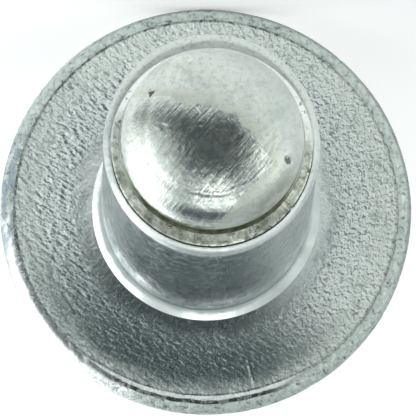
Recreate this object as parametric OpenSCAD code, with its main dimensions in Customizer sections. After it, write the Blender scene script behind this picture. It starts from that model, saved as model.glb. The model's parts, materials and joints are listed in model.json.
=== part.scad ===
// Blind rivet of the open-end, domed-head kind, before it is set: a headed shell on its mandrel.
// Both pieces are turned profiles, drawn as [radius, height] about the rivet's own axis.
// Height 0 is the bearing face under the flange, and the blind end with the mandrel's head is up.

/* [Shell] */
// Diameter of the flange
flange_d = 9.5; // [8:0.1:12]
// Height of the domed side of the flange above the bearing face
flange_h = 1.25; // [1:0.05:1.6]
// Radius of the flange's full-round rim
rim_r = 0.32; // [0.2:0.01:0.38]
// Drop from the bearing face to the top of the rim
rim_step = 0.04; // [0.02:0.01:0.1]
// Diameter of the shank
shank_d = 4.8; // [4.4:0.1:5.4]
// Length of the shank from the bearing face to its end
shank_l = 8; // [6:0.5:16]
// Radius of the rolled corner at the end of the shank
end_corner = 0.18; // [0.05:0.01:0.22]
// Width of the collar round the root of the shank
collar_w = 0.22; // [0.1:0.01:0.4]
// Height of the collar
collar_h = 0.14; // [0.05:0.01:0.3]
// Height of the upright edge at the foot of the collar
collar_edge = 0.02; // [0.01:0.01:0.04]
// Radius of the fillet between the collar and the shank
root_fillet = 0.1; // [0.02:0.01:0.1]
// Radius of the rounded mouth of the bore, on the domed side
mouth_r = 0.15; // [0.05:0.01:0.25]

/* [Mandrel stem] */
// Diameter of the stem
stem_d = 2.64; // [2.2:0.02:2.9]
// Length of stem that stands out of the flange
stem_out = 25; // [20:1:40]
// How much the stem thickens in radius inside the bore, which keeps the shell on it
land_rise = 0.05; // [0.02:0.01:0.1]
// Length of the taper from the stem to its thicker stretch
land_taper = 0.65; // [0.55:0.05:0.8]
// Radial clearance of that stretch in the bore
land_fit = 0.04; // [0.02:0.01:0.1]
// Length of the pointed tail
tail_l = 1.4; // [0.5:0.1:3]
// Diameter of the blunt tip of the tail
tail_d = 1; // [0.4:0.1:1.8]
// Diameter at the break neck
neck_d = 1.9; // [1.4:0.05:2.1]
// Length of the waist that forms the break neck
neck_l = 1; // [0.6:0.1:1.6]
// Length of the straight middle of the break neck
neck_flat = 0.25; // [0.1:0.05:0.5]
// Depth of the middle of the break neck under the head
neck_depth = 1.6; // [1:0.1:3]

/* [Mandrel head] */
// Height of the head above the end of the shank
head_h = 1.65; // [1.5:0.05:2]
// How far the head's skirt stays inside the outside of the shank
skirt_inset = 0.25; // [0.22:0.01:0.4]
// Width of the skirt outside the dome
skirt_w = 0.21; // [0.1:0.01:0.3]
// Thickness of the skirt at its edge
skirt_t = 0.08; // [0.04:0.01:0.15]
// Height of the slope on top of the skirt
skirt_slope = 0.1; // [0.05:0.01:0.15]
// Gap between the skirt's edge and the end of the shank
skirt_gap = 0.1; // [0.04:0.01:0.15]
// Width of the flat ring by which the head bears on the end of the shank
seat_w = 0.45; // [0.2:0.01:0.5]
// Depth of the groove between the skirt and the dome
groove_depth = 0.03; // [0.01:0.01:0.05]
// Height of the dome's widest place above the end of the shank
dome_base = 0.5; // [0.45:0.01:0.6]
// Radius of the dome's shoulder, below its flatter crown
dome_corner = 0.85; // [0.6:0.05:0.9]

/* [Hidden] */
$fn = 96;

shank_r = shank_d / 2;
stem_r = stem_d / 2;
land_r = stem_r + land_rise;
bore_r = land_r + land_fit;
rim_mid = [flange_d / 2 - rim_r, -rim_step - rim_r];
skirt_r = shank_r - skirt_inset;
dome_r = skirt_r - skirt_w;
dome_mid = [dome_r - dome_corner, shank_l + dome_base];
tail_end = -flange_h - stem_out;
tail_edge = tail_end + tail_l;

// Radius of an arc about the axis that passes the height h above a smaller arc's centre
// and blends into that arc, whose centre is r_mid from the axis and whose radius is r
function crown_radius(r_mid, h, r) = (r_mid * r_mid + h * h - r * r) / (2 * (h - r));
// Points of an arc from angle a to angle b, measured from the outward direction
function arc(mid, r, a, b, steps) =
    [for (i = [0:steps]) let (turn = a + (b - a) * i / steps) mid + r * [cos(turn), sin(turn)]];

flange_crown = crown_radius(rim_mid[0], flange_h + rim_mid[1], rim_r);
flange_crown_mid = [0, flange_crown - flange_h];
flange_blend = atan2(rim_mid[1] - flange_crown_mid[1], rim_mid[0]);
mouth_mid_r = bore_r + mouth_r;
mouth_mid_z = flange_crown_mid[1] - sqrt(pow(flange_crown - mouth_r, 2) - pow(mouth_mid_r, 2));
mouth_blend = atan2(mouth_mid_z - flange_crown_mid[1], mouth_mid_r);
head_crown = crown_radius(dome_mid[0], head_h - dome_base, dome_corner);
head_crown_mid = [0, shank_l + head_h - head_crown];
head_blend = atan2(dome_mid[1] - head_crown_mid[1], dome_mid[0]);

// The rivet lies on its rim and on the edge of its tail, so its blind end points up by this angle
reach = [rim_mid[0] - stem_r, rim_mid[1] - tail_edge];
rest_tilt = atan2(reach[0], reach[1]) + asin(rim_r / norm(reach));

module lying() {
    rotate([90 - rest_tilt, 0, 0]) children();
}

// Cold-headed aluminium tube: domed flange, collar and shank, bored right through
module rivet_shell() {
    flange = concat(
        [[rim_mid[0], 0]],
        arc(rim_mid, rim_r, 90, flange_blend, 16),
        arc(flange_crown_mid, flange_crown, flange_blend, mouth_blend, 10),
        arc([mouth_mid_r, mouth_mid_z], mouth_r, mouth_blend, -180, 6)
    );
    shank_end = concat(
        [[bore_r, shank_l]],
        arc([shank_r - end_corner, shank_l - end_corner], end_corner, 90, 0, 6)
    );
    root = concat(
        arc([shank_r + root_fillet, collar_h + root_fillet], root_fillet, 180, 270, 5),
        [[shank_r + collar_w, collar_edge], [shank_r + collar_w, 0]]
    );
    color([0.74, 0.78, 0.76])
    lying()
    rotate_extrude() polygon(concat(shank_end, root, flange));
}

// Cold-headed steel pin: pointed stem, break neck inside the shank, and the head that upsets the shell
module mandrel() {
    neck_mid = shank_l - neck_depth;
    neck_r = neck_d / 2;
    stem = [
        [0, tail_end],
        [tail_d / 2, tail_end],
        [stem_r, tail_edge],
        [stem_r, -flange_h],
        [land_r, land_taper - flange_h],
        [land_r, neck_mid - neck_l / 2],
        [neck_r, neck_mid - neck_flat / 2],
        [neck_r, neck_mid + neck_flat / 2],
        [land_r, neck_mid + neck_l / 2],
        [land_r, shank_l]
    ];
    skirt = [
        [bore_r + seat_w, shank_l],
        [skirt_r, shank_l + skirt_gap],
        [skirt_r, shank_l + skirt_gap + skirt_t],
        [dome_r - groove_depth, shank_l + skirt_gap + skirt_t + skirt_slope]
    ];
    dome = concat(
        arc(dome_mid, dome_corner, 0, head_blend, 10),
        arc(head_crown_mid, head_crown, head_blend, 90, 8)
    );
    color([0.62, 0.63, 0.58])
    lying()
    rotate_extrude() polygon(concat(stem, skirt, dome));
}

rivet_shell();
mandrel();
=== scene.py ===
import json
import math

import bmesh
import bpy
from mathutils import Matrix, Vector, noise


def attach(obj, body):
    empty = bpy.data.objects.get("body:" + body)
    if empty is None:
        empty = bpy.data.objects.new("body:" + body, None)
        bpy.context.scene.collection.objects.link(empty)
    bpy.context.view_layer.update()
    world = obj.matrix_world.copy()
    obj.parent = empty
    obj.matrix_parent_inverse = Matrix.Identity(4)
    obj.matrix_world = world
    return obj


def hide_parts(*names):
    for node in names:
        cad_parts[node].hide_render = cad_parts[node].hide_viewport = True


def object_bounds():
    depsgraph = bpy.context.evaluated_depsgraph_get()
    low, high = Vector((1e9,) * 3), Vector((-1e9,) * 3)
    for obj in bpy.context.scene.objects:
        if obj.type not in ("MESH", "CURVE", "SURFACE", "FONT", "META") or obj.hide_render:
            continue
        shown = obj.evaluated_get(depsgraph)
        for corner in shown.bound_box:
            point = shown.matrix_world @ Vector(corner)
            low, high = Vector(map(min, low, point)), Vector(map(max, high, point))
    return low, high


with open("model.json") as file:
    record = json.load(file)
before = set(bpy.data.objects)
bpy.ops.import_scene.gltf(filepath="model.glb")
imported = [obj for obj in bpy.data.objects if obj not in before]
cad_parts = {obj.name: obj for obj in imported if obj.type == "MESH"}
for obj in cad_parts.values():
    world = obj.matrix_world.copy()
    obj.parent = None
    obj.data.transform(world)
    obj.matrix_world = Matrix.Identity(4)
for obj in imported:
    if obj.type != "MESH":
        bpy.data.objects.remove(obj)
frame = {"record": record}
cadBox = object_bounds()
noise.seed_set(7)  # noise_vector would otherwise give another grain each run
print("frame loaded")

# The rivet's own frame: x sideways, z from the bearing face towards the blind end, in millimetres
mounts = {m["name"]: m for m in frame["record"]["mounts"]}
blindEnd = Vector(mounts["shank"]["axis"])
lean = math.acos(blindEnd.z)  # from the world's up to the blind end
sideways = Vector((1, 0, 0))
across = blindEnd.cross(sideways)
mm = 0.001
lying = Matrix.Rotation(lean, 4, "X") @ Matrix.Scale(mm, 4)


def smooth(a, b, x):
    t = min(max((x - a) / (b - a), 0), 1)
    return t * t * (3 - 2 * t)


def bump(x, middle, width):
    return math.exp(-(((x - middle) / width) ** 2))


# Drawing a turned profile in the xz plane, as radius and height
def startAt(bm, r, z):
    return bmesh.ops.create_vert(bm, co=(r, 0, z))["vert"][0]


def lineTo(bm, last, r, z, rows=1):
    start = last.co.copy()
    for row in range(rows):
        last = bmesh.ops.extrude_vert_indiv(bm, verts=[last])["verts"][0]
        last.co = start.lerp(Vector((r, 0, z)), (row + 1) / rows)
    return last


def arcAbout(bm, last, middle, degrees, rows):
    swept = bmesh.ops.spin(bm, geom=[last], cent=(middle[0], 0, middle[1]), axis=(0, -1, 0),
                           dvec=(0, 0, 0), angle=math.radians(degrees), steps=rows)
    return [g for g in swept["geom_last"] if isinstance(g, bmesh.types.BMVert)][0]


def crownRadius(middleR, rise, r):
    # radius of a flat arc that blends into a small arc of radius r, whose middle is middleR from the axis
    return (middleR * middleR + rise * rise - r * r) / (2 * (rise - r))


def turn(bm, steps):
    # one wedge is spun, then doubled round the axis until the turn is full, which is quicker than one long spin
    doublings = 5
    wedge = math.tau / 2 ** doublings
    bmesh.ops.spin(bm, geom=bm.verts[:] + bm.edges[:], cent=(0, 0, 0), axis=(0, 0, 1),
                   dvec=(0, 0, 0), angle=wedge, steps=steps // 2 ** doublings)
    for doubling in range(doublings):
        copied = bmesh.ops.duplicate(bm, geom=bm.verts[:] + bm.edges[:] + bm.faces[:])["geom"]
        bmesh.ops.rotate(bm, cent=(0, 0, 0), matrix=Matrix.Rotation(wedge * 2 ** doubling, 3, "Z"),
                         verts=[g for g in copied if isinstance(g, bmesh.types.BMVert)])
    bmesh.ops.remove_doubles(bm, verts=bm.verts[:], dist=1e-4)
    bmesh.ops.recalc_face_normals(bm, faces=bm.faces[:])


def giveFinishes(bm, finishes, finishAt):
    order = list(finishes)
    for face in bm.faces:
        middle = face.calc_center_median()
        face.material_index = order.index(finishAt(math.hypot(middle.x, middle.y), middle.z))


def wear(bm, relief, shift):
    # each point moves along its normal by its relief, and then by its shift
    bm.normal_update()
    for vert in bm.verts:
        p = vert.co.copy()
        r = math.hypot(p.x, p.y)
        turned = math.atan2(p.y, p.x)
        vert.co = p + relief(p, r, turned) * vert.normal + shift(p, r, turned)


def finishMesh(bm, name, finishes, node, sharpAngle):
    for edge in bm.edges:
        if len(edge.link_faces) == 2 and edge.calc_face_angle() > math.radians(sharpAngle):
            edge.smooth = False
    for face in bm.faces:
        face.smooth = True
    bmesh.ops.transform(bm, matrix=lying, verts=bm.verts[:])
    mesh = bpy.data.meshes.new(name)
    bm.to_mesh(mesh)
    bm.free()
    for material in finishes.values():
        mesh.materials.append(material)
    piece = bpy.data.objects.new(name, mesh)
    bpy.context.scene.collection.objects.link(piece)
    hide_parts(node)
    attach(piece, "root")
    print(name, len(mesh.polygons), "faces")


# Material nodes
def addNode(tree, kind, settings=None, values=None, links=None):
    node = tree.nodes.new("ShaderNode" + kind)
    for key, value in (settings or {}).items():
        setattr(node, key, value)
    for key, value in (values or {}).items():
        node.inputs[key].default_value = value
    for key, socket in (links or {}).items():
        tree.links.new(socket, node.inputs[key])
    return node


def newMetal(name, base, roughness):
    material = bpy.data.materials.new(name)
    material.use_nodes = True
    tree = material.node_tree
    shader = tree.nodes["Principled BSDF"]
    shader.inputs["Metallic"].default_value = 1.0
    shader.inputs["Base Color"].default_value = (*base, 1)
    shader.inputs["Roughness"].default_value = roughness
    coords = addNode(tree, "TexCoord")
    # the rivet's own frame in millimetres, so that z runs along its axis
    own = addNode(tree, "Mapping", values={"Rotation": (-lean, 0, 0), "Scale": (1 / mm, 1 / mm, 1 / mm)},
                  links={"Vector": coords.outputs["Object"]})
    return material, tree, shader, own.outputs["Vector"]


def finishMetal(tree, shader, colour, roughness, height, depth, strength=1.0):
    # depth is that of the finest relief in millimetres, which only catches the light
    relief = addNode(tree, "Bump", values={"Strength": strength, "Distance": depth * mm}, links={"Height": height})
    tree.links.new(colour, shader.inputs["Base Color"])
    tree.links.new(roughness, shader.inputs["Roughness"])
    tree.links.new(relief.outputs["Normal"], shader.inputs["Normal"])


def maths(tree, operation, a, b=None):
    node = addNode(tree, "Math", {"operation": operation})
    for index, value in ((0, a), (1, b)):
        if isinstance(value, bpy.types.NodeSocket):
            tree.links.new(value, node.inputs[index])
        elif value is not None:
            node.inputs[index].default_value = value
    return node.outputs[0]


def times(tree, first, *others):
    for other in others:
        first = maths(tree, "MULTIPLY", first, other)
    return first


def plus(tree, first, *others):
    for other in others:
        first = maths(tree, "ADD", first, other)
    return first


def minus(tree, a, b):
    return maths(tree, "SUBTRACT", a, b)


def lessBy(tree, share, mask, whole=1.0):
    # the whole where the mask is 0, and less by the share where it is 1
    return minus(tree, whole, times(tree, mask, share))


def wavy(tree, value, pattern, amount):
    # a value made uneven by a noise, which is 0.5 on the average
    return plus(tree, value, times(tree, minus(tree, pattern, 0.5), amount))


def span(tree, value, fromLow, fromHigh, toLow=0.0, toHigh=1.0):
    node = addNode(tree, "MapRange", {"interpolation_type": "SMOOTHSTEP"},
                   {"From Min": fromLow, "From Max": fromHigh, "To Min": toLow, "To Max": toHigh},
                   {"Value": value})
    return node.outputs["Result"]


def near(tree, distance, outer, inner):
    # 1 within inner of a line, and 0 beyond outer
    return span(tree, maths(tree, "ABSOLUTE", distance), outer, inner)


def ramp(tree, fac, stops):
    node = addNode(tree, "ValToRGB", links={"Fac": fac})
    for element, (position, colour) in zip(node.color_ramp.elements, stops):
        element.position = position
        element.color = (*colour, 1)
    return node.outputs["Color"]


def mixColour(tree, fac, a, b):
    node = addNode(tree, "Mix", {"data_type": "RGBA"})
    for name, value in (("Factor", fac), ("A", a), ("B", b)):
        socket = [s for s in node.inputs if s.name == name and s.enabled][0]
        if isinstance(value, bpy.types.NodeSocket):
            tree.links.new(value, socket)
        else:
            socket.default_value = (*value, 1)
    return [s for s in node.outputs if s.enabled][0]


def painted(tree, colour, tint, *masks):
    # the tint over the colour, as far as all the masks together let it show
    return mixColour(tree, times(tree, *masks), colour, tint)


def partOf(tree, vector, name):
    return addNode(tree, "SeparateXYZ", links={"Vector": vector}).outputs[name]


def polar(tree, vector):
    # radius, and the direction from the axis as a unit vector
    flat = addNode(tree, "CombineXYZ", links={"X": partOf(tree, vector, "X"), "Y": partOf(tree, vector, "Y")})
    flat = flat.outputs["Vector"]
    r = addNode(tree, "VectorMath", {"operation": "LENGTH"}, links={"Vector": flat}).outputs["Value"]
    outward = addNode(tree, "VectorMath", {"operation": "NORMALIZE"}, links={"Vector": flat}).outputs["Vector"]
    return r, outward


def stretched(tree, vector, scale, turned=0.0):
    # turned about the rivet's axis by so many degrees, then scaled
    if turned:
        vector = addNode(tree, "Mapping", values={"Rotation": (0, 0, math.radians(turned))},
                         links={"Vector": vector}).outputs["Vector"]
    return addNode(tree, "Mapping", values={"Scale": scale}, links={"Vector": vector}).outputs["Vector"]


def ringed(tree, r, outward, radialSize, roundSize, radius=3.4):
    # coordinates in which a noise's marks are radialSize wide and roundSize long round the axis
    spread = addNode(tree, "VectorMath", {"operation": "SCALE"}, {"Scale": radius / roundSize},
                     {"Vector": outward}).outputs["Vector"]
    return addNode(tree, "CombineXYZ", links={
        "X": maths(tree, "DIVIDE", r, radialSize), "Y": partOf(tree, spread, "X"), "Z": partOf(tree, spread, "Y"),
    }).outputs["Vector"]


def aroundClock(tree, outward, clock, inner, outer):
    # 1 within inner degrees of a clock angle of the picture, where 90 is down, and 0 beyond outer
    c = math.radians(clock)
    facing = addNode(tree, "VectorMath", {"operation": "DOT_PRODUCT"}, {1: (-math.cos(c), math.sin(c), 0)},
                     {0: outward}).outputs["Value"]
    return span(tree, facing, math.cos(math.radians(outer)), math.cos(math.radians(inner)))


def alongRound(tree, own, clock):
    # distance round the axis from a clock angle of the picture, near that angle
    c = math.radians(clock)
    return addNode(tree, "VectorMath", {"operation": "DOT_PRODUCT"}, {1: (math.sin(c), math.cos(c), 0)},
                   {0: own}).outputs["Value"]


def noiseAt(tree, vector, scale, detail, roughness, distortion=0.0):
    return addNode(tree, "TexNoise", None,
                   {"Scale": scale, "Detail": detail, "Roughness": roughness, "Distortion": distortion},
                   {"Vector": vector}).outputs["Fac"]


def noiseAndFall(tree, vector, step, *noiseValues):
    # a noise, and how far it falls over a step, which is positive on one side of a fold and negative on the other
    here = noiseAt(tree, vector, *noiseValues)
    further = addNode(tree, "VectorMath", {"operation": "ADD"}, {1: step}, {0: vector}).outputs["Vector"]
    return here, minus(tree, here, noiseAt(tree, further, *noiseValues))


# Rivet shell: domed flange, pebbled bearing face, collar and shank, bored through
shell = {
    "rimR": 0.32, "rimMiddle": (4.43, -0.36), "flangeHeight": 1.25, "mouthR": 0.15, "boreR": 1.41,
    "shankR": 2.4, "shankLength": 8.0, "endCorner": 0.2, "filletR": 0.03,
    "collarWidth": 0.22, "collarHeight": 0.14, "collarEdge": 0.02,
    "around": 672,
    "smoothOut": 3.02,  # the bearing face is rubbed smooth from the collar out to here
    "grainDepth": 0.006, "grainSize": 0.12, "grainLength": 1.7,
    "fainterGrain": (3.78, 3.95),  # the grain loses half its depth between these radii
    "pitDepth": 0.03, "pitSize": 0.3, "pitSpacing": 0.11,
    "ringMarkR": 3.85, "ringMarkWidth": 0.035, "ringMarkDepth": 0.004,
    "faceWave": 0.004, "rimWave": 0.008, "shankWave": 0.003, "domeWave": 0.003,
    "chipDepth": 0.014, "rimGrain": 0.0015, "dentDepth": 0.006, "drawnGrain": 0.0012, "domeGrain": 0.0012,
    "squeeze": 0.09,  # how far the shank's end is pinched sideways
    "sharpAngle": 50,
}


def shellProfile(bm, v):
    crown = crownRadius(v["rimMiddle"][0], v["flangeHeight"] + v["rimMiddle"][1], v["rimR"])
    crownMiddle = (0, crown - v["flangeHeight"])
    mouthMiddleR = v["boreR"] + v["mouthR"]
    mouthMiddleZ = crownMiddle[1] - math.sqrt((crown - v["mouthR"]) ** 2 - mouthMiddleR ** 2)
    rimBlend = math.degrees(math.atan2(v["rimMiddle"][1] - crownMiddle[1], v["rimMiddle"][0]))
    mouthBlend = math.degrees(math.atan2(mouthMiddleZ - crownMiddle[1], mouthMiddleR))
    shankR, length, corner, fillet = v["shankR"], v["shankLength"], v["endCorner"], v["filletR"]
    collarR = shankR + v["collarWidth"]
    last = startAt(bm, v["boreR"], length)
    last = lineTo(bm, last, shankR - corner, length, 5)
    last = arcAbout(bm, last, (shankR - corner, length - corner), -90, 7)
    last = lineTo(bm, last, shankR, v["collarHeight"] + fillet, 30)
    last = arcAbout(bm, last, (shankR + fillet, v["collarHeight"] + fillet), 90, 4)
    last = lineTo(bm, last, collarR, v["collarEdge"], 3)
    last = lineTo(bm, last, collarR, 0)
    last = lineTo(bm, last, v["rimMiddle"][0], 0, 56)
    last = lineTo(bm, last, v["rimMiddle"][0], v["rimMiddle"][1] + v["rimR"])
    last = arcAbout(bm, last, v["rimMiddle"], rimBlend - 90, 14)
    last = arcAbout(bm, last, crownMiddle, mouthBlend - rimBlend, 12)
    last = arcAbout(bm, last, (mouthMiddleR, mouthMiddleZ), -180 - mouthBlend, 4)
    lineTo(bm, last, v["boreR"], length, 2)


# In the reliefs, a vector added to a point only takes the noise from another place
def pebbles(p):
    warped = p + 0.35 * noise.noise_vector(p / 1.9)
    crease = abs(noise.noise(warped))
    finer = abs(noise.noise(warped * 1.8 + Vector((7, 3, 1))))
    return 1.0 - 3.0 * crease + 0.8 * (0.5 - finer)


def bearingFaceRelief(v, p, r, turned):
    shadedSide = smooth(0.3, 0.9, math.sin(turned))
    edge = v["smoothOut"] - 0.1 * shadedSide + 0.25 * noise.noise(p * 1.2)
    rough = smooth(edge - 0.05, edge + 0.12, r)
    weight = rough * (1 - 0.55 * smooth(*v["fainterGrain"], r))
    size = v["grainSize"]
    spread = v["grainLength"] / size
    alongGrain = Vector((r / size, spread * math.cos(turned), spread * math.sin(turned)))
    relief = v["grainDepth"] * pebbles(alongGrain) * (0.08 + 0.92 * weight)
    pit = noise.noise(p / v["pitSize"] + Vector((3, 9, 5))) * noise.noise(p / v["pitSpacing"] + Vector((1, 4, 2)))
    relief -= v["pitDepth"] * smooth(0.1, 0.3, pit) * weight
    relief += v["faceWave"] * noise.noise(p * 1.1 + Vector((0, 5, 0)))
    ringR = v["ringMarkR"] + 0.03 * noise.noise(p * 0.8)
    return relief - v["ringMarkDepth"] * bump(r, ringR, v["ringMarkWidth"]) * rough


def shellRelief(v, p, r, turned):
    # how far a point of the shell stands proud, by where it is
    rimFoot = v["rimMiddle"][0]
    if abs(p.z) < 0.06 and v["shankR"] + v["collarWidth"] + 0.005 < r < rimFoot + 0.02:
        return bearingFaceRelief(v, p, r, turned)
    if r > rimFoot - 0.001 and p.z < 0:
        chip = noise.noise(p * 5.5 + Vector((4, 1, 1)))
        relief = v["rimWave"] * noise.noise(p * 1.4 + Vector((2, 2, 8))) - v["chipDepth"] * smooth(0.34, 0.5, chip)
        return relief + v["rimGrain"] * noise.noise(p * 16)
    if r > v["shankR"] - 0.3 and p.z > 0.2:
        dent = noise.noise(p * 2.7 + Vector((5, 5, 5)))
        relief = v["shankWave"] * noise.noise(p * 1.3) - v["dentDepth"] * smooth(0.35, 0.6, dent)
        return relief + v["drawnGrain"] * noise.noise(Vector((p.x * 9, p.y * 9, p.z * 2.5)))
    if p.z < -0.3 and r > v["boreR"] + 0.1:
        return v["domeWave"] * noise.noise(p * 2.1) + v["domeGrain"] * noise.noise(p * 9)
    return 0.0


def pinchedEnd(v, p, r):
    if p.z > 0 and v["boreR"] + 0.05 < r < v["shankR"] + 0.01:
        pinch = smooth(0.3, v["shankLength"], p.z) * smooth(v["boreR"], v["shankR"], r)
        return Vector((-p.x / r * v["squeeze"] * pinch, 0, 0))
    return Vector()


def shellFinishAt(v, r, z):
    if r < v["boreR"] + 0.02:
        return "burnished"
    if z < 0.2 and r > v["rimMiddle"][0]:
        return "rim"
    if z > v["shankLength"] - v["endCorner"]:
        return "lip"
    if abs(z) < 0.01 and r > v["shankR"] + v["collarWidth"]:
        return "pebbled"
    if z < -0.05:
        return "domed"
    return "drawn" if z > v["collarHeight"] + v["filletR"] else "burnished"


def buildShell(v, finishes):
    bm = bmesh.new()
    shellProfile(bm, v)
    turn(bm, v["around"])
    giveFinishes(bm, finishes, lambda r, z: shellFinishAt(v, r, z))
    wear(bm, lambda p, r, turned: shellRelief(v, p, r, turned), lambda p, r, turned: pinchedEnd(v, p, r))
    finishMesh(bm, "rivetShell", finishes, "rivet_shell", v["sharpAngle"])


def pebbledMetal():
    # the bearing face, with folds and crumples whose two sides are painted as shade and highlight, and with painted
    # shade under the shank
    material, tree, shader, own = newMetal("pebbledAluminium", (0.76, 0.83, 0.79), 0.4)
    r, outward = polar(tree, own)
    blotches = noiseAt(tree, own, 1.2, 4, 0.65)
    wrinkles = noiseAt(tree, own, 7.5, 3, 0.6, 0.8)
    fine = noiseAt(tree, own, 20, 3, 0.6, 0.6)
    strokes = noiseAt(tree, ringed(tree, r, outward, 0.075, 0.16), 1.0, 2, 0.55, 0.9)
    striae = noiseAt(tree, ringed(tree, r, outward, 0.4, 0.06), 1.0, 2, 0.5, 0.3)
    foldCoords = stretched(tree, own, (4.4, 11, 8), 35)
    folds, foldFall = noiseAndFall(tree, foldCoords, (0.12, 0.36, 0), 1.0, 3, 0.62, 0.4)
    crumpleFall = noiseAndFall(tree, own, (0.024, 0.032, 0), 10, 3, 0.65, 0.7)[1]
    wavyR = wavy(tree, r, blotches, 0.7)
    rough = span(tree, wavyR, 2.75, 3.2)
    outer = span(tree, wavyR, 3.7, 3.95)
    under = aroundClock(tree, outward, 103, 24, 74)  # the side that the shank shades
    shaded = times(tree, under, span(tree, wavyR, 4.6, 3.9))
    leftSide = aroundClock(tree, outward, 178, 30, 62)
    rightSide = aroundClock(tree, outward, 350, 55, 100)
    weight = times(tree, rough, lessBy(tree, 0.45, outer))
    height = times(tree, plus(tree, times(tree, strokes, 0.4), folds), weight, lessBy(tree, 0.6, under))
    height = plus(tree, height,
                  times(tree, wrinkles, span(tree, rough, 0, 1, 0.3, 0.5)),
                  times(tree, fine, span(tree, rough, 0, 1, 0.1, 0.25)),
                  times(tree, striae, outer, 0.4))
    colour = ramp(tree, fine, [(0.3, (0.74, 0.82, 0.79)), (0.65, (0.92, 0.98, 0.94))])
    colour = painted(tree, colour, (0.80, 0.87, 0.79), outer, 0.6)
    colour = painted(tree, colour, (0.62, 0.69, 0.67), span(tree, blotches, 0.45, 0.7, 0.0, 0.4))
    # painted shade on the side of the face that the shank shades
    colour = painted(tree, colour, (0.09, 0.135, 0.13), shaded, span(tree, r, 2.8, 3.6, 0.7, 0.97))
    colour = painted(tree, colour, (0.44, 0.51, 0.49), leftSide, rough, 0.4)

    # painted shade on the falling side of each fold and crumple, and a painted highlight on the rising side
    foldWeight = times(tree, weight, lessBy(tree, 0.7, rightSide))
    crumpleWeight = times(tree, rough, span(tree, rightSide, 0, 1, 0.5, 0.75), lessBy(tree, 0.25, outer))
    colour = painted(tree, colour, (0.09, 0.12, 0.13), span(tree, foldFall, -0.03, -0.12, 0.0, 0.85), foldWeight)
    colour = painted(tree, colour, (0.14, 0.17, 0.17), span(tree, crumpleFall, -0.03, -0.13), crumpleWeight)
    colour = painted(tree, colour, (0.95, 1.0, 0.98), span(tree, crumpleFall, 0.03, 0.13), crumpleWeight,
                     lessBy(tree, 0.85, shaded))
    colour = painted(tree, colour, (0.30, 0.35, 0.34), span(tree, striae, 0.46, 0.36, 0.0, 0.45), outer,
                     span(tree, blotches, 0.42, 0.6, 0.1, 1.0))
    colour = painted(tree, colour, (0.13, 0.16, 0.17), span(tree, wrinkles, 0.41, 0.33),
                     span(tree, rough, 0, 1, 0.2, 0.6))
    colour = painted(tree, colour, (0.92, 0.98, 0.96), span(tree, foldFall, 0.03, 0.12), foldWeight,
                     lessBy(tree, 0.5, shaded, 0.75))

    # a radial scratch at the bottom of the picture, bright with a dark line beside it
    off = alongRound(tree, own, 75.2)
    scratched = times(tree, span(tree, r, 3.62, 3.7), aroundClock(tree, outward, 75, 10, 20),
                      span(tree, wrinkles, 0.4, 0.55, 0.1, 0.75))
    for beside, tint in ((0.0, (0.85, 0.9, 0.88)), (0.05, (0.06, 0.08, 0.08))):
        colour = painted(tree, colour, tint, near(tree, plus(tree, off, beside), 0.035, 0.015), scratched)

    # a dark line along the foot of the rim, painted shade in the crease, and at the bottom of the picture a painted
    # highlight outside it
    lower = aroundClock(tree, outward, 94, 22, 42)
    edgeR = plus(tree, r, times(tree, fine, 0.08), times(tree, lower, 0.06))
    fainterRight = span(tree, aroundClock(tree, outward, 5, 35, 70), 0, 1, 1.0, 0.55)
    colour = painted(tree, colour, (0.09, 0.11, 0.11), span(tree, edgeR, 4.40, 4.44),
                     span(tree, wrinkles, 0.35, 0.6, 1.0, 0.45), fainterRight)
    colour = painted(tree, colour, (0.95, 0.99, 0.98), lower, span(tree, edgeR, 4.455, 4.475))
    matt = span(tree, aroundClock(tree, outward, 0, 30, 90), 0, 1, 0.42, 0.58)
    finishMetal(tree, shader, colour, lessBy(tree, 0.16, shaded, matt), height, 0.07)
    return material


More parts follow.
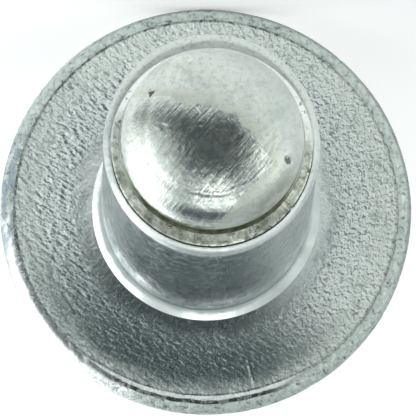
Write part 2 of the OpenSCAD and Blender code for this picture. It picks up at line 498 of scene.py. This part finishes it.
def rimMetal():
    # satin and grained like the flange, burnished at the lower left with a painted highlight there, and with a
    # crease along its foot painted dark as shade
    material, tree, shader, own = newMetal("rimAluminium", (0.72, 0.79, 0.76), 0.4)
    r, outward = polar(tree, own)
    patches = noiseAt(tree, own, 2.6, 4, 0.65)
    fine = noiseAt(tree, own, 9, 4, 0.65, 0.5)
    worn = noiseAt(tree, stretched(tree, own, (5, 2.2, 2)), 1.0, 5, 0.6)
    wavyR = wavy(tree, r, patches, 0.08)
    bright = aroundClock(tree, outward, 144, 20, 40)
    lower = aroundClock(tree, outward, 98, 24, 46)
    colour = ramp(tree, fine, [(0.36, (0.40, 0.47, 0.44)), (0.6, (0.66, 0.73, 0.69))])
    colour = painted(tree, colour, (0.80, 0.86, 0.82), span(tree, patches, 0.5, 0.7, 0.0, 0.5))
    # painted shade along the outer edge at the upper right
    colour = painted(tree, colour, (0.20, 0.24, 0.23), span(tree, r, 4.62, 4.72),
                     aroundClock(tree, outward, 310, 50, 90), 0.75)
    # painted highlight: white at the lower left, and along a line at the bottom of the rim
    rubbed = maths(tree, "MAXIMUM", bright, times(tree, lower, span(tree, wavyR, 4.48, 4.45)))
    colour = painted(tree, colour, (0.95, 0.99, 0.98), rubbed)
    colour = painted(tree, colour, (0.34, 0.41, 0.45), aroundClock(tree, outward, 184, 10, 24),
                     span(tree, worn, 0.6, 0.44))
    colour = painted(tree, colour, (0.46, 0.52, 0.52), bright, span(tree, r, 4.69, 4.73), 0.7)
    # a painted dark reflection in a band along the lower rim
    paintedDarkBand = times(tree, span(tree, wavyR, 4.44, 4.46), span(tree, wavyR, 4.55, 4.53),
                   span(tree, fine, 0.42, 0.5, 0.45, 1.0), aroundClock(tree, outward, 92, 18, 36))
    colour = painted(tree, colour, (0.03, 0.04, 0.04), paintedDarkBand, lower, 0.96)
    # the crease along the foot, painted dark as shade, and less so under the painted highlights
    crease = span(tree, plus(tree, r, times(tree, fine, 0.06)), 4.49, 4.46)
    highlighted = maths(tree, "MAXIMUM", bright, lower)
    colour = painted(tree, colour, (0.14, 0.17, 0.17), crease, lessBy(tree, 0.6, highlighted, 0.75))
    colour = painted(tree, colour, (0.14, 0.17, 0.18), span(tree, fine, 0.42, 0.34, 0.0, 0.8),
                     span(tree, bright, 1.0, 0.5, 0.12, 1.0))
    height = times(tree, fine, span(tree, bright, 0, 1, 1.0, 0.15))
    finishMetal(tree, shader, colour, span(tree, bright, 0, 1, 0.42, 0.2), height, 0.06)
    return material


def lipMetal():
    # the rolled end of the shank, rubbed dull, with a painted highlight on the lower side
    material, tree, shader, own = newMetal("rolledAluminium", (0.84, 0.90, 0.89), 0.42)
    r, outward = polar(tree, own)
    patches = noiseAt(tree, own, 3.0, 3, 0.6)
    frost = noiseAt(tree, own, 12, 4, 0.7)
    colour = ramp(tree, patches, [(0.3, (0.46, 0.52, 0.51)), (0.6, (0.60, 0.66, 0.64))])
    colour = painted(tree, colour, (0.66, 0.72, 0.68), aroundClock(tree, outward, 285, 70, 110))
    colour = painted(tree, colour, (0.28, 0.33, 0.32), span(tree, frost, 0.48, 0.34, 0.0, 0.5))
    # painted highlight on the lower side
    colour = painted(tree, colour, (0.90, 0.95, 0.93), aroundClock(tree, outward, 92, 35, 70),
                     span(tree, r, 2.41, 2.31), 0.9)
    finishMetal(tree, shader, colour, span(tree, patches, 0.3, 0.7, 0.5, 0.38), noiseAt(tree, own, 9, 3, 0.6), 0.012)
    return material


def burnishedMetal():
    # the collar and the bore, with painted shade on the right and close to the shank
    material, tree, shader, own = newMetal("burnishedAluminium", (0.82, 0.88, 0.87), 0.2)
    r, outward = polar(tree, own)
    rings = addNode(tree, "CombineXYZ", links={"X": r, "Y": partOf(tree, own, "Z")}).outputs["Vector"]
    lines = noiseAt(tree, stretched(tree, rings, (30, 30, 1)), 1.0, 3, 0.6)
    patches = noiseAt(tree, own, 2.2, 3, 0.6)
    paintedShade = maths(tree, "MAXIMUM", times(tree, aroundClock(tree, outward, 0, 40, 95), 0.85),
                span(tree, plus(tree, r, times(tree, patches, 0.1)), 2.60, 2.48))
    colour = ramp(tree, patches, [(0.3, (0.76, 0.83, 0.82)), (0.6, (0.92, 0.97, 0.95))])
    colour = painted(tree, colour, (0.48, 0.54, 0.53), paintedShade)
    roughness = plus(tree, span(tree, patches, 0.3, 0.7, 0.32, 0.18), times(tree, paintedShade, 0.25))
    finishMetal(tree, shader, colour, roughness, lines, 0.003, 0.7)
    return material


def drawnMetal():
    # marks are drawn out along the shank, as drawing leaves them
    material, tree, shader, own = newMetal("drawnAluminium", (0.46, 0.54, 0.60), 0.22)
    outward = polar(tree, own)[1]
    z = partOf(tree, own, "Z")
    along = noiseAt(tree, stretched(tree, own, (12, 12, 1.1)), 1.0, 4, 0.6)
    patches = noiseAt(tree, stretched(tree, own, (2, 2, 0.8)), 1.0, 4, 0.65)
    mottle = noiseAt(tree, stretched(tree, own, (11, 11, 2.0)), 1.0, 5, 0.7)
    scuffs = noiseAt(tree, stretched(tree, own, (5, 5, 3)), 1.0, 3, 0.6)
    specks = noiseAt(tree, stretched(tree, own, (8, 8, 1.6)), 1.0, 2, 0.5)
    colour = ramp(tree, patches, [(0.35, (0.38, 0.43, 0.45)), (0.62, (0.54, 0.60, 0.62))])
    colour = painted(tree, colour, (0.74, 0.80, 0.82), span(tree, mottle, 0.51, 0.64, 0.0, 0.6))
    colour = painted(tree, colour, (0.14, 0.17, 0.19), span(tree, mottle, 0.48, 0.38, 0.0, 0.65))
    # painted shade on the right side of the shank, and low on it next to the flange
    colour = painted(tree, colour, (0.16, 0.20, 0.22), aroundClock(tree, outward, 15, 25, 75), 0.4)
    colour = painted(tree, colour, (0.12, 0.15, 0.17), span(tree, z, 1.5, 0.4, 0.0, 0.4))
    colour = painted(tree, colour, (0.95, 0.98, 0.98), span(tree, specks, 0.69, 0.73))

    # a slanting scratch at the lower left
    off = alongRound(tree, own, 140)
    above = minus(tree, z, plus(tree, times(tree, off, 0.875), 3.05))
    colour = painted(tree, colour, (0.97, 1.0, 1.0), near(tree, above, 0.09, 0.03), near(tree, off, 0.5, 0.3),
                     aroundClock(tree, outward, 140, 20, 30), span(tree, scuffs, 0.42, 0.52))
    height = plus(tree, times(tree, along, 0.5), times(tree, mottle, 0.5))
    finishMetal(tree, shader, colour, span(tree, scuffs, 0.35, 0.7, 0.12, 0.24), height, 0.012)
    return material


def domedMetal():
    material, tree, shader, own = newMetal("domedAluminium", (0.78, 0.83, 0.80), 0.3)
    patches = noiseAt(tree, own, 1.3, 4, 0.6)
    fine = noiseAt(tree, own, 11, 4, 0.6)
    colour = ramp(tree, patches, [(0.3, (0.68, 0.74, 0.72)), (0.65, (0.82, 0.87, 0.84))])
    finishMetal(tree, shader, colour, span(tree, fine, 0.3, 0.7, 0.24, 0.38), fine, 0.006, 0.7)
    return material


shellFinishes = {
    "pebbled": pebbledMetal(), "burnished": burnishedMetal(), "drawn": drawnMetal(), "domed": domedMetal(),
    "lip": lipMetal(), "rim": rimMetal(),
}
buildShell(shell, shellFinishes)

# Mandrel: pointed stem, break neck in the shank, skirt, groove and domed head
mandrel = {
    "tailEnd": -26.25, "tailLength": 1.4, "tailR": 0.5, "stemR": 1.32, "landR": 1.37,
    "landStart": -1.25, "landTaper": 0.65,
    "neckR": 0.95, "neckMiddle": 6.4, "neckLength": 1.0, "neckFlat": 0.25,
    "shankLength": 8.0, "seatR": 1.86,
    "skirtR": 2.15, "skirtGap": 0.1, "skirtThick": 0.08, "skirtSlope": 0.06, "skirtBevel": 0.02,
    "grooveWidth": 0.04, "grooveDrop": 0.04, "grooveR": 1.91,
    "domeR": 1.94, "domeMiddle": (1.09, 8.5), "domeCorner": 0.85, "headTop": 9.65,
    "around": 512,
    "creaseR": 1.36, "creaseDepth": 0.012,  # where the crown meets the shoulder
    "ridgeHeight": 0.007, "ridgeWidth": 0.035, "dipDepth": 0.006, "dipWidth": 0.04,  # along that crease
    "pits": [(-1.60, 0.57, 0.075, 0.04), (1.33, -0.84, 0.05, 0.03)],  # x, y, radius, depth
    "headWave": 0.006, "streakDepth": 0.0012, "smallPitDepth": 0.006, "stemGrain": 0.0012,
    "rubbed": [(0.21, 1, 0.46), (1.18, 1, 0.877), (1, -0.918, 1.855)],  # a, b, c: ax + by + c is over 0 inside
    "skirtShift": 0.11,  # how far the skirt stands out to the lower side
    "skirtPress": (0.07, 0.04),  # how far it is pressed down on the upper and on the lower side
    "skirtWave": 0.006, "skirtGrain": 0.003,
    "grooveFill": 0.03,  # how far the groove's wall comes out where the groove is filled
    "crackAt": 140, "crackWidth": 0.03, "crackDepth": 0.06,
    "sharpAngle": 35,
}
skirtTop = mandrel["shankLength"] + mandrel["skirtGap"] + mandrel["skirtThick"]


def mandrelProfile(bm, v):
    length = v["shankLength"]
    rise = v["headTop"] - v["domeMiddle"][1]
    crown = crownRadius(v["domeMiddle"][0], rise, v["domeCorner"])
    crownMiddle = (0, v["headTop"] - crown)
    blend = math.degrees(math.atan2(v["domeMiddle"][1] - crownMiddle[1], v["domeMiddle"][0]))
    corners = [  # radius, height, rows
        (v["tailR"], v["tailEnd"], 2),
        (v["stemR"], v["tailEnd"] + v["tailLength"], 4),
        (v["stemR"], v["landStart"], 24),
        (v["landR"], v["landStart"] + v["landTaper"], 1),
        (v["landR"], v["neckMiddle"] - v["neckLength"] / 2, 1),
        (v["neckR"], v["neckMiddle"] - v["neckFlat"] / 2, 1),
        (v["neckR"], v["neckMiddle"] + v["neckFlat"] / 2, 1),
        (v["landR"], v["neckMiddle"] + v["neckLength"] / 2, 1),
        (v["landR"], length, 1),
        (v["seatR"], length, 1),
        (v["skirtR"], length + v["skirtGap"], 2),
        (v["skirtR"], skirtTop - v["skirtBevel"], 2),
        (v["skirtR"] - v["skirtBevel"], skirtTop, 1),
        (v["domeR"] + v["grooveWidth"], skirtTop + v["skirtSlope"], 4),
        (v["grooveR"], skirtTop + v["skirtSlope"] - v["grooveDrop"], 3),
        (v["domeR"], v["domeMiddle"][1], 4),
    ]
    last = startAt(bm, 0, v["tailEnd"])
    for r, z, rows in corners:
        last = lineTo(bm, last, r, z, rows)
    last = arcAbout(bm, last, v["domeMiddle"], blend, 30)
    arcAbout(bm, last, crownMiddle, 90 - blend, 44)


def headRelief(v, p, r):
    clock = math.degrees(math.atan2(p.y, -p.x))  # 0 is right and 90 down, as the photograph shows the head
    shown = smooth(-10, 25, clock) * (1 - smooth(100, 135, clock))
    crease = v["creaseR"]
    relief = -v["creaseDepth"] * smooth(crease - 0.03, crease + 0.1, r) * (1 - smooth(1.4, 1.8, r))
    ridgeR = crease - 0.03 + 0.03 * noise.noise(p * 3)
    relief += v["ridgeHeight"] * bump(r, ridgeR, v["ridgeWidth"]) * shown
    relief -= v["dipDepth"] * bump(r, crease + 0.07, v["dipWidth"]) * shown
    relief += v["headWave"] * noise.noise(p * 1.3 + Vector((8, 2, 4)))
    alongStreak = Vector(((p.x - p.y) * 7, (p.x + p.y) * 1.1, p.z * 3))
    relief += v["streakDepth"] * noise.noise(alongStreak)
    for x, y, radius, depth in v["pits"]:
        relief -= depth * bump(math.hypot(p.x - x, p.y - y), 0, radius)
    smallPit = noise.noise(p * 5.2 + Vector((3, 3, 7)))
    return relief - v["smallPitDepth"] * smooth(0.5, 0.65, smallPit)


def mandrelRelief(v, p, r, turned):
    # how far a point of the mandrel stands proud, by where it is
    if p.z > v["domeMiddle"][1] - 0.1:
        return headRelief(v, p, r)
    if p.z > v["shankLength"] + 0.05 and r > v["grooveR"] - 0.05:
        relief = v["skirtWave"] * noise.noise(p * 2.6) + v["skirtGrain"] * noise.noise(p * 8)
        fromCrack = math.radians(math.degrees(turned) - v["crackAt"]) * r
        return relief - v["crackDepth"] * bump(fromCrack, 0, v["crackWidth"]) * smooth(1.95, 2.05, r)
    if p.z < 0:
        return v["stemGrain"] * noise.noise(Vector((p.x * 5, p.y * 5, p.z * 0.6)))
    return 0.0


def bentSkirt(v, p, r, turned):
    # the skirt is pressed down towards the shank's end, most on the upper side, and stands out on the lower one
    shift = Vector()
    if p.z > v["shankLength"] + 0.05 and r > v["grooveR"] - 0.01:
        outer = smooth(v["grooveR"], v["skirtR"], r) * (1 - smooth(skirtTop + 0.1, skirtTop + 0.2, p.z))
        upper, lower = smooth(0.1, 0.8, -math.sin(turned)), smooth(0.1, 0.8, math.sin(turned))
        shift.z -= outer * (v["skirtPress"][0] * upper + v["skirtPress"][1] * lower)
        if r > v["domeR"] + v["grooveWidth"] - 0.01:
            shift += Vector((p.x, p.y, 0)) / r * v["skirtShift"] * math.sin(turned) * outer
        if r < v["domeR"] + 0.01 and p.z < skirtTop + v["skirtSlope"] - 0.001:
            # the groove is filled but for its lower side
            filled = 1 - smooth(0.2, 0.75, math.cos(turned - math.radians(80)))
            shift += filled * Vector((p.x / r * v["grooveFill"], p.y / r * v["grooveFill"], v["grooveDrop"]))
    return shift


def mandrelFinishAt(v, r, z):
    if z > v["domeMiddle"][1] - 0.02:
        return "head"
    if z > skirtTop - 0.005 and r < v["domeR"] + v["grooveWidth"]:
        return "groove"
    if r > v["skirtR"] - 0.03 and z < skirtTop:
        return "groove"
    return "skirt" if z > v["shankLength"] - 0.1 else "stem"


def buildMandrel(v, finishes):
    bm = bmesh.new()
    mandrelProfile(bm, v)
    turn(bm, v["around"])
    giveFinishes(bm, finishes, lambda r, z: mandrelFinishAt(v, r, z))
    wear(bm, lambda p, r, turned: mandrelRelief(v, p, r, turned), lambda p, r, turned: bentSkirt(v, p, r, turned))
    finishMesh(bm, "mandrelPin", finishes, "mandrel", v["sharpAngle"])


def headMetal(v):
    # the lower left is rubbed bright, inside a ragged border, and the rest is frosted
    material, tree, shader, own = newMetal("zincPlate", (0.80, 0.84, 0.79), 0.2)
    r, outward = polar(tree, own)
    x, y = partOf(tree, own, "X"), partOf(tree, own, "Y")
    lines = noiseAt(tree, stretched(tree, own, (1.4, 11, 3), -48), 1.0, 4, 0.62)
    patches = noiseAt(tree, own, 1.7, 4, 0.6, 0.4)
    specks = noiseAt(tree, own, 7.5, 3, 0.6)
    mottle = noiseAt(tree, own, 9, 5, 0.72, 0.4)
    veins = noiseAt(tree, own, 5, 5, 0.7, 1.2)
    sides = [plus(tree, times(tree, x, a), times(tree, y, b), c) for a, b, c in v["rubbed"]]
    border = maths(tree, "MINIMUM", maths(tree, "MINIMUM", sides[0], sides[1]), sides[2])
    border = wavy(tree, border, noiseAt(tree, own, 2.6, 5, 0.65), 0.5)
    frosted = span(tree, border, 0.03, -0.03)
    colour = ramp(tree, patches, [(0.3, (0.58, 0.64, 0.60)), (0.65, (0.76, 0.81, 0.76))])
    colour = painted(tree, colour, (0.36, 0.41, 0.38), span(tree, mottle, 0.54, 0.36, 0.0, 0.42))
    colour = painted(tree, colour, (0.62, 0.60, 0.44), span(tree, specks, 0.58, 0.70, 0.0, 0.6))
    # stained beside the border
    colour = painted(tree, colour, (0.60, 0.60, 0.42), frosted, span(tree, border, -0.35, -0.02),
                     span(tree, mottle, 0.46, 0.56, 0.0, 0.6))
    # darker towards the lower right, near the foot
    colour = painted(tree, colour, (0.34, 0.36, 0.30), span(tree, partOf(tree, outward, "Y"), 0.2, 0.7),
                     span(tree, partOf(tree, outward, "X"), -0.15, -0.6), span(tree, r, 1.5, 1.85),
                     span(tree, patches, 0.35, 0.6), 0.8)
    for pitX, pitY, radius, _ in v["pits"]:
        toPit = addNode(tree, "VectorMath", {"operation": "MULTIPLY_ADD"}, {1: (1, 1, 0), 2: (-pitX, -pitY, 0)},
                        {0: own}).outputs["Vector"]
        away = addNode(tree, "VectorMath", {"operation": "LENGTH"}, links={0: toPit}).outputs["Value"]
        colour = painted(tree, colour, (0.13, 0.14, 0.12),
                         span(tree, wavy(tree, away, specks, 0.35), radius * 1.1, radius * 0.6))
    # tarnished in veins where it is rubbed
    colour = painted(tree, colour, (0.34, 0.40, 0.38), minus(tree, 1.0, frosted),
                     span(tree, veins, 0.54, 0.44, 0.0, 0.6), span(tree, x, 1.0, 0.5, 0.15, 1.0))
    # painted shade towards the upper right
    colour = painted(tree, colour, (0.48, 0.54, 0.52), aroundClock(tree, outward, 322, 25, 75),
                     span(tree, r, 0.8, 1.7), 0.45)
    roughness = plus(tree, span(tree, lines, 0.3, 0.7, 0.06, 0.18), span(tree, mottle, 0.35, 0.7, 0.06, 0.0),
                     times(tree, frosted, 0.32))
    height = plus(tree, lines, times(tree, mottle, 0.35), times(tree, veins, 0.5))
    finishMetal(tree, shader, colour, roughness, height, 0.01)
    return material


def grooveMetal():
    # darker and olive at the lower side, and black in the gap under the skirt's edge, which is painted shadow
    material, tree, shader, own = newMetal("darkGroove", (0.42, 0.43, 0.32), 0.45)
    r, outward = polar(tree, own)
    dirt = noiseAt(tree, own, 6, 4, 0.65)
    colour = ramp(tree, dirt, [(0.3, (0.17, 0.18, 0.13)), (0.7, (0.48, 0.50, 0.41))])
    colour = painted(tree, colour, (0.74, 0.78, 0.74), minus(tree, 1.0, aroundClock(tree, outward, 88, 42, 80)))
    # painted shadow in the gap under the skirt's edge
    colour = painted(tree, colour, (0.015, 0.02, 0.02), span(tree, r, 2.02, 2.06),
                     aroundClock(tree, outward, 90, 70, 100))
    finishMetal(tree, shader, colour, span(tree, dirt, 0.3, 0.7, 0.6, 0.35), dirt, 0.02, 0.8)
    return material


def skirtMetal():
    material, tree, shader, own = newMetal("skirtPlate", (0.70, 0.66, 0.56), 0.3)
    outward = polar(tree, own)[1]
    dirt = noiseAt(tree, own, 5, 4, 0.65)
    cracks = noiseAt(tree, own, 8, 4, 0.7, 0.8)
    colour = ramp(tree, dirt, [(0.35, (0.20, 0.22, 0.18)), (0.62, (0.60, 0.64, 0.56))])
    # painted light on the upper side, against the shade that falls on the pressed-down skirt there
    colour = painted(tree, colour, (0.84, 0.90, 0.87), span(tree, partOf(tree, outward, "Y"), 0.3, -0.4))
    colour = painted(tree, colour, (0.07, 0.07, 0.05), span(tree, cracks, 0.45, 0.33, 0.0, 0.85))
    finishMetal(tree, shader, colour, span(tree, dirt, 0.3, 0.7, 0.42, 0.24), dirt, 0.01, 0.8)
    return material


def stemMetal():
    material, tree, shader, own = newMetal("drawnSteel", (0.66, 0.67, 0.62), 0.28)
    lines = noiseAt(tree, stretched(tree, own, (14, 14, 0.5)), 1.0, 4, 0.6)
    patches = noiseAt(tree, stretched(tree, own, (1, 1, 0.3)), 1.0, 4, 0.6)
    colour = ramp(tree, patches, [(0.3, (0.52, 0.53, 0.49)), (0.65, (0.70, 0.71, 0.66))])
    finishMetal(tree, shader, colour, span(tree, lines, 0.3, 0.7, 0.36, 0.2), lines, 0.008, 0.8)
    return material


mandrelFinishes = {"head": headMetal(mandrel), "groove": grooveMetal(), "skirt": skirtMetal(), "stem": stemMetal()}
buildMandrel(mandrel, mandrelFinishes)

# Stage: pale floor, dark cards near the head that paint dark reflections, studio light and camera
paleLight, darkRoom = (1.9, 1.95, 1.95), (0.13, 0.14, 0.15)
stage = {
    "floorSize": 1.2, "floorColour": (0.8, 0.8, 0.8), "floorGlow": 0.4,
    # off the axis, clock angle in the picture, angular radius and shade of each dark card
    "cards": [(5, 25, 32, 0.17), (37, 212, 14, 0.2), (60, 206, 11, 0.42), (84, 204, 10, 0.5)],
    "cardAway": 13.0,
    "roomColour": (0.62, 0.66, 0.66),
    # lighter and darker parts of the room: off the axis, clock angle, and where each is full and where it ends
    "zones": [
        (74, 160, 22, 34, paleLight),
        (102, 160, 22, 34, paleLight),
        (132, 158, 22, 34, paleLight),
        (90, 97, 18, 28, (0.16, 0.18, 0.20)),
        (48, 82, 6, 22, (2.0, 2.05, 2.0)),
        (60, 8, 14, 30, (1.6, 1.64, 1.6)),
        (5, 25, 29, 36, darkRoom),
        (38, 215, 8, 16, (0.15, 0.16, 0.18)),
    ],
    "distance": 0.100, "turnUp": 9.9, "turnSide": 0.9, "focalPixels": 4340, "sensor": 36.0, "frame": 416,
    "baseAtPixel": (206, 208),
}


def towards(offAxis, clock):
    # a direction by its angle off the rivet's axis and its clock angle in the picture, where 90 is down
    a, c = math.radians(offAxis), math.radians(clock)
    return math.cos(a) * blindEnd + math.sin(a) * (-math.cos(c) * sideways + math.sin(c) * across)


def stageMaterial(name, colour, roughness):
    paint = bpy.data.materials.new(name)
    paint.use_nodes = True
    shader = paint.node_tree.nodes["Principled BSDF"]
    shader.inputs["Base Color"].default_value = (*colour, 1)
    shader.inputs["Roughness"].default_value = roughness
    return paint, shader


def stageObject(bm, name, paint):
    mesh = bpy.data.meshes.new(name)
    bm.to_mesh(mesh)
    bm.free()
    mesh.materials.append(paint)
    thing = bpy.data.objects.new(name, mesh)
    bpy.context.scene.collection.objects.link(thing)
    return thing


def buildFloor(v):
    paint, shader = stageMaterial("paleBoard", v["floorColour"], 0.8)
    tree = paint.node_tree
    shader.inputs["Emission Color"].default_value = (1, 1, 1, 1)
    ray = addNode(tree, "LightPath").outputs
    seen = maths(tree, "MAXIMUM", ray["Is Camera Ray"], ray["Is Glossy Ray"])
    seen = maths(tree, "MAXIMUM", seen, ray["Is Transmission Ray"])
    tree.links.new(times(tree, seen, v["floorGlow"]), shader.inputs["Emission Strength"])
    bm = bmesh.new()
    bmesh.ops.create_grid(bm, x_segments=4, y_segments=4, size=v["floorSize"] / 2)
    bmesh.ops.translate(bm, vec=(0, 0, cadBox[0].z), verts=bm.verts[:])
    floor = stageObject(bm, "floor", paint)


def buildCards(v):
    # dark cards near the head, seen only in the metal's reflections, where they paint dark reflections
    head = lying @ Vector((0, 0, mandrel["headTop"]))
    for number, (offAxis, clock, radius, shade) in enumerate(v["cards"]):
        ahead = towards(offAxis, clock)
        paint, shader = stageMaterial(f"darkCard{number}", (shade, shade * 1.04, shade * 1.08), 0.9)
        shader.inputs["Specular IOR Level"].default_value = 0.0
        bm = bmesh.new()
        bmesh.ops.create_circle(bm, cap_ends=True, segments=48,
                                radius=v["cardAway"] * math.tan(math.radians(radius)) * mm)
        facing = ahead.to_track_quat("Z", "Y").to_matrix().to_4x4()
        bmesh.ops.transform(bm, matrix=Matrix.Translation(head + ahead * v["cardAway"] * mm) @ facing,
                            verts=bm.verts[:])
        card = stageObject(bm, f"darkReflectionCard{number}", paint)
        for ray in ("camera", "diffuse", "shadow", "transmission", "volume_scatter"):
            setattr(card, "visible_" + ray, False)


def buildWorld(v):
    world = bpy.data.worlds.new("studio")
    bpy.context.scene.world = world
    world.use_nodes = True
    tree = world.node_tree
    tree.nodes.clear()
    around = addNode(tree, "TexCoord").outputs["Generated"]
    colour = v["roomColour"]
    for offAxis, clock, inner, outer, light in v["zones"]:
        facing = addNode(tree, "VectorMath", {"operation": "DOT_PRODUCT"}, {1: towards(offAxis, clock)},
                         {0: around}).outputs["Value"]
        inside = span(tree, facing, math.cos(math.radians(outer)), math.cos(math.radians(inner)))
        colour = mixColour(tree, inside, colour, light)
    shade = addNode(tree, "Background", links={"Color": colour})
    out = tree.nodes.new("ShaderNodeOutputWorld")
    tree.links.new(shade.outputs["Background"], out.inputs["Surface"])


def buildCamera(v):
    data = bpy.data.cameras.new("camera")
    camera = bpy.data.objects.new("camera", data)
    bpy.context.scene.collection.objects.link(camera)
    data.sensor_width = v["sensor"]
    data.lens = v["focalPixels"] / v["frame"] * v["sensor"]
    data.clip_start, data.clip_end = 0.001, 10
    data.shift_x = (v["frame"] / 2 - v["baseAtPixel"][0]) / v["frame"]
    data.shift_y = (v["baseAtPixel"][1] - v["frame"] / 2) / v["frame"]
    elevation = math.radians(90 - math.degrees(lean) + v["turnUp"])
    side = math.radians(v["turnSide"])
    toCamera = Vector((math.sin(side) * math.cos(elevation), -math.cos(side) * math.cos(elevation),
                       math.sin(elevation)))
    right = Vector((0, 0, 1)).cross(toCamera).normalized()
    up = toCamera.cross(right)
    turned = Matrix((-right, -up, toCamera)).transposed().to_4x4()  # rolled by half a turn
    camera.matrix_world = Matrix.Translation(toCamera * v["distance"]) @ turned
    bpy.context.scene.camera = camera


buildFloor(stage)
buildCards(stage)
buildWorld(stage)
buildCamera(stage)
bpy.context.scene.view_settings.view_transform = "Standard"
print("stage set")
